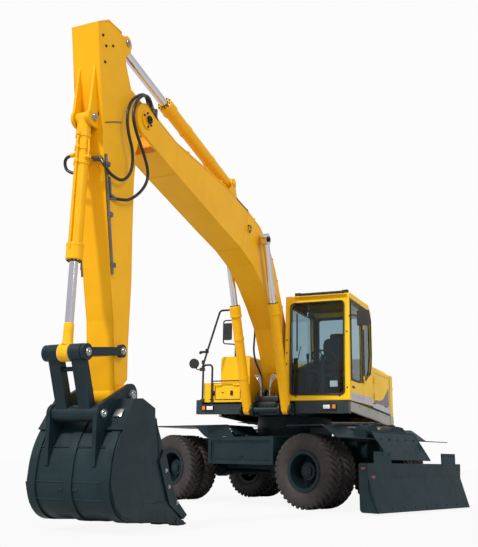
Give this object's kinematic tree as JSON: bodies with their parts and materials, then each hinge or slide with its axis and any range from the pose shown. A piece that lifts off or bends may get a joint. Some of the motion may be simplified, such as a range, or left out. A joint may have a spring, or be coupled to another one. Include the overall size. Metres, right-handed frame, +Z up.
{
  "type": "wheeled excavator",
  "caption": "Wheeled excavator: slewing upper body with cab, boom, arm and bucket on a twin-tyred wheeled chassis with a dozer blade.",
  "frame": {"origin": "on the ground, under the slew axis", "axes": "+X forward along the boom of the upper body, +Y to the cab side, +Z up; the chassis stands turned 70.7 degrees under the upper body"},
  "size_m": [8.939, 5.1167, 5.171],
  "materials": {
    "black": "matt",
    "chrome": "polished",
    "dark": "satin",
    "engine": "painted",
    "glass": "clear",
    "grey": "satin",
    "lamp": "clear",
    "mirror": "matt",
    "seat": "woven",
    "steel": "worn",
    "tyre": "matt",
    "yellow": "semi-gloss"
  },
  "bodies": {
    "chassis": {"chassis_frame": "dark", "slew_ring": "steel", "side_boxes": "dark", "fenders": "dark", "axles": "dark", "drive_line": "steel", "blade_mount": "dark"},
    "knuckle_left": {"knuckle_left": "dark"},
    "knuckle_right": {"knuckle_right": "dark"},
    "steering_rod": {"steering_rod": "steel"},
    "wheels_blade_left": {"tyres_blade_left": "tyre", "rims_blade_left": "dark"},
    "wheels_blade_right": {"tyres_blade_right": "tyre", "rims_blade_right": "dark"},
    "wheels_steer_left": {"tyres_steer_left": "tyre", "rims_steer_left": "dark"},
    "wheels_steer_right": {"tyres_steer_right": "tyre", "rims_steer_right": "dark"},
    "dozer_blade": {"dozer_blade": "dark"},
    "blade_barrels": {"blade_barrels": "dark"},
    "blade_rods": {"blade_rods": "chrome"},
    "upper": {"deck": "yellow", "counterweight": "grey", "engine": "engine", "engine_housing": "yellow", "tank_housing": "yellow", "step_skirts": "dark", "side_skirts": "grey", "cab_shell": "yellow", "cab_windows": "glass", "seat": "seat", "controls": "black", "rails": "black", "mirrors": "mirror", "lamps": "lamp"},
    "service_door": {"service_door": "yellow"},
    "engine_hood": {"engine_hood": "yellow"},
    "toolbox_door": {"toolbox_door": "yellow"},
    "cab_door": {"cab_door": "yellow", "door_window": "glass"},
    "boom": {"boom": "yellow", "boom_pipes": "yellow"},
    "boom_barrels": {"boom_barrels": "yellow"},
    "boom_rods": {"boom_rods": "chrome"},
    "arm": {"arm": "yellow", "arm_pipes": "steel"},
    "arm_barrel": {"arm_barrel": "yellow"},
    "arm_rod": {"arm_rod": "chrome"},
    "guide_links": {"guide_links": "dark"},
    "bucket": {"bucket": "dark", "bucket_teeth": "steel"},
    "h_link": {"h_link": "dark"},
    "bucket_barrel": {"bucket_barrel": "yellow"},
    "bucket_rod": {"bucket_rod": "chrome"}
  },
  "joints": [
    {"name": "slew", "type": "hinge", "parent": "chassis", "child": "upper", "pos_m": [0, 0, 1.2], "axis": [0, 0, 1], "continuous": true},
    {"name": "wheels_blade_left", "type": "hinge", "parent": "chassis", "child": "wheels_blade_left", "pos_m": [-0.51817, 1.39464, 0.525], "axis": [-0.9438, 0.3305, 0], "continuous": true},
    {"name": "steer_left", "type": "hinge", "parent": "chassis", "child": "knuckle_left", "pos_m": [-1.10965, -1.3533, 0.525], "axis": [0, 0, 1], "range_deg": [-25, 25]},
    {"name": "wheels_steer_left", "type": "hinge", "parent": "knuckle_left", "child": "wheels_steer_left", "pos_m": [-1.43998, -1.23762, 0.525], "axis": [-0.9438, 0.3305, 0], "continuous": true},
    {"name": "wheels_blade_right", "type": "hinge", "parent": "chassis", "child": "wheels_blade_right", "pos_m": [1.27505, 0.76666, 0.525], "axis": [-0.9438, 0.3305, 0], "continuous": true},
    {"name": "steer_right", "type": "hinge", "parent": "chassis", "child": "knuckle_right", "pos_m": [0.02292, -1.74992, 0.525], "axis": [0, 0, 1], "range_deg": [-25, 25]},
    {"name": "wheels_steer_right", "type": "hinge", "parent": "knuckle_right", "child": "wheels_steer_right", "pos_m": [0.35324, -1.8656, 0.525], "axis": [-0.9438, 0.3305, 0], "continuous": true},
    {"name": "steering_rod_slide", "type": "slide", "parent": "chassis", "child": "steering_rod", "axis": [-0.9438, 0.3305, 0], "range_m": [-0.11, 0.11]},
    {"name": "blade_lift", "type": "hinge", "parent": "chassis", "child": "dozer_blade", "pos_m": [0.52882, 1.51008, 0.4], "axis": [0.9438, -0.3305, 0], "range_deg": [-14, 16]},
    {"name": "blade_barrel_swing", "type": "hinge", "parent": "chassis", "child": "blade_barrels", "pos_m": [0.56187, 1.60446, 0.86], "axis": [0.9438, -0.3305, 0], "range_deg": [-8.26, 9.44]},
    {"name": "blade_rod_slide", "type": "slide", "parent": "blade_barrels", "child": "blade_rods", "axis": [0.2243, 0.6405, -0.7345], "range_m": [-0.1128, 0.0989]},
    {"name": "boom_lift", "type": "hinge", "parent": "upper", "child": "boom", "pos_m": [0.52, 0, 1.7], "axis": [0, -1, 0], "range_deg": [-50, 18]},
    {"name": "boom_barrel_swing", "type": "hinge", "parent": "upper", "child": "boom_barrels", "pos_m": [1.24, 0, 1.4], "axis": [0, -1, 0], "range_deg": [-56.42, 20.31]},
    {"name": "boom_rod_slide", "type": "slide", "parent": "boom_barrels", "child": "boom_rods", "axis": [0.3338, 0, 0.9426], "range_m": [-0.6535, 0.2359]},
    {"name": "arm_swing", "type": "hinge", "parent": "boom", "child": "arm", "pos_m": [5.319, 0, 4.307], "axis": [0, 1, 0], "range_deg": [-60, 40]},
    {"name": "arm_barrel_swing", "type": "hinge", "parent": "boom", "child": "arm_barrel", "pos_m": [2.8, 0, 4.447], "axis": [0, 1, 0], "range_deg": [-6.59, 4.39]},
    {"name": "arm_rod_slide", "type": "slide", "parent": "arm_barrel", "child": "arm_rod", "axis": [0.9754, 0, 0.2204], "range_m": [-0.8018, 0.5349]},
    {"name": "bucket_curl", "type": "hinge", "parent": "arm", "child": "bucket", "pos_m": [5.491, 0, 1.282], "axis": [0, 1, 0], "range_deg": [-65, 50]},
    {"name": "guide_link_swing", "type": "hinge", "parent": "arm", "child": "guide_links", "pos_m": [5.609, 0, 1.703], "axis": [0, 1, 0], "range_deg": [-65.33, 50.25]},
    {"name": "h_link_swing", "type": "hinge", "parent": "bucket", "child": "h_link", "pos_m": [5.982, 0, 1.073], "axis": [0, 1, 0], "range_deg": [-36.87, 47.93]},
    {"name": "bucket_barrel_swing", "type": "hinge", "parent": "arm", "child": "bucket_barrel", "pos_m": [6.172, 0, 3.99], "axis": [0, 1, 0], "range_deg": [-2.04, 2.66]},
    {"name": "bucket_rod_slide", "type": "slide", "parent": "bucket_barrel", "child": "bucket_rod", "axis": [0.0097, 0, -1], "range_m": [-0.6065, 0.4668]},
    {"name": "cab_door_swing", "type": "hinge", "parent": "upper", "child": "cab_door", "pos_m": [0.376, 1.283, 2.3], "axis": [0, 0, 1], "range_deg": [0, 100]},
    {"name": "service_door_swing", "type": "hinge", "parent": "upper", "child": "service_door", "pos_m": [-0.332, 1.261, 1.85], "axis": [0, 0, -1], "range_deg": [0, 100]},
    {"name": "engine_hood_lift", "type": "hinge", "parent": "upper", "child": "engine_hood", "pos_m": [-0.412, 0, 2.231], "axis": [0, 1, 0], "range_deg": [0, 55]},
    {"name": "toolbox_door_lift", "type": "hinge", "parent": "upper", "child": "toolbox_door", "pos_m": [1.121, 0, 1.798], "axis": [0, -1, 0], "range_deg": [0, 95]}
  ],
  "couplings": [
    {"joint": "steer_right", "follows": "steer_left", "ratio": 1},
    {"joint": "steering_rod_slide", "follows": "steer_left", "m_per_rad": -0.242},
    {"joint": "blade_barrel_swing", "follows": "blade_lift", "ratio": 0.57261},
    {"joint": "blade_rod_slide", "follows": "blade_lift", "m_per_rad": -0.38883},
    {"joint": "boom_barrel_swing", "follows": "boom_lift", "ratio": 1.0955},
    {"joint": "boom_rod_slide", "follows": "boom_lift", "m_per_rad": 0.72594},
    {"joint": "arm_barrel_swing", "follows": "arm_swing", "ratio": 0.10661},
    {"joint": "arm_rod_slide", "follows": "arm_swing", "m_per_rad": 0.74242},
    {"joint": "guide_link_swing", "follows": "bucket_curl", "ratio": 0.97573},
    {"joint": "h_link_swing", "follows": "bucket_curl", "ratio": -0.71595},
    {"joint": "bucket_barrel_swing", "follows": "bucket_curl", "ratio": -0.039683},
    {"joint": "bucket_rod_slide", "follows": "bucket_curl", "m_per_rad": 0.51818}
  ]
}
